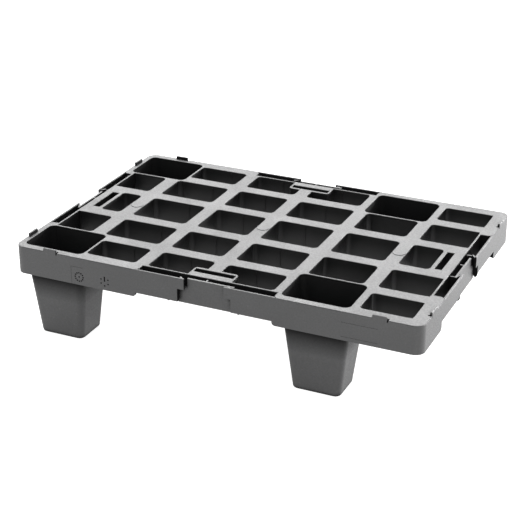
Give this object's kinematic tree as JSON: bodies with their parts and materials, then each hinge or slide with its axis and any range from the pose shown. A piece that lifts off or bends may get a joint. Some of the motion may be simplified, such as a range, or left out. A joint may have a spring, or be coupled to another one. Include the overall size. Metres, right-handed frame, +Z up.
{
  "type": "nestable display pallet",
  "caption": "Nestable quarter-size plastic display pallet with an open lattice deck, hollow tapered feet and a slotted clip pocket on every side.",
  "frame": {"origin": "middle of the footprint, on the plane the feet stand on", "axes": "+X along the long side, +Y from the front long side to the back, +Z up"},
  "size_m": [0.6, 0.4, 0.1443],
  "materials": {
    "deck_plastic": "fine spark-eroded texture, satin, black regrind polymer",
    "skirt_plastic": "fine moulded texture, satin",
    "foot_plastic": "smoother drawn texture with light scuffs",
    "rib_plastic": "plain moulded surface"
  },
  "bodies": {
    "root": {"back_channel_web": "deck_plastic", "back_clip_pocket": "skirt_plastic", "back_left_deck_edge": "deck_plastic", "back_right_deck_edge": "deck_plastic", "back_rim_tabs": "skirt_plastic", "back_skirt_left": "skirt_plastic", "back_skirt_right": "skirt_plastic", "block_end_webs": "rib_plastic", "cell_guide_ribs": "rib_plastic", "cross_bars_ab": "deck_plastic", "cross_bars_bc": "deck_plastic", "cross_bars_cd": "deck_plastic", "cross_bars_de": "deck_plastic", "cross_bars_ef": "deck_plastic", "deck_rail_1": "deck_plastic", "deck_rail_2": "deck_plastic", "deck_rail_3": "deck_plastic", "deck_rail_4": "deck_plastic", "diaphragm_ribs": "rib_plastic", "foot_back_left": "foot_plastic", "foot_back_right": "foot_plastic", "foot_front_left": "foot_plastic", "foot_front_right": "foot_plastic", "front_channel_web": "deck_plastic", "front_clip_pocket": "skirt_plastic", "front_left_deck_edge": "deck_plastic", "front_right_deck_edge": "deck_plastic", "front_rim_tabs": "skirt_plastic", "front_skirt_left": "skirt_plastic", "front_skirt_right": "skirt_plastic", "left_back_deck_edge": "deck_plastic", "left_channel_web": "deck_plastic", "left_clip_bracket": "deck_plastic", "left_clip_pocket": "skirt_plastic", "left_front_deck_edge": "deck_plastic", "left_rim_tabs": "skirt_plastic", "left_skirt_back": "skirt_plastic", "left_skirt_front": "skirt_plastic", "right_back_deck_edge": "deck_plastic", "right_channel_web": "deck_plastic", "right_clip_bracket": "deck_plastic", "right_clip_pocket": "skirt_plastic", "right_front_deck_edge": "deck_plastic", "right_rim_tabs": "skirt_plastic", "right_skirt_back": "skirt_plastic", "right_skirt_front": "skirt_plastic"}
  },
  "joints": []
}
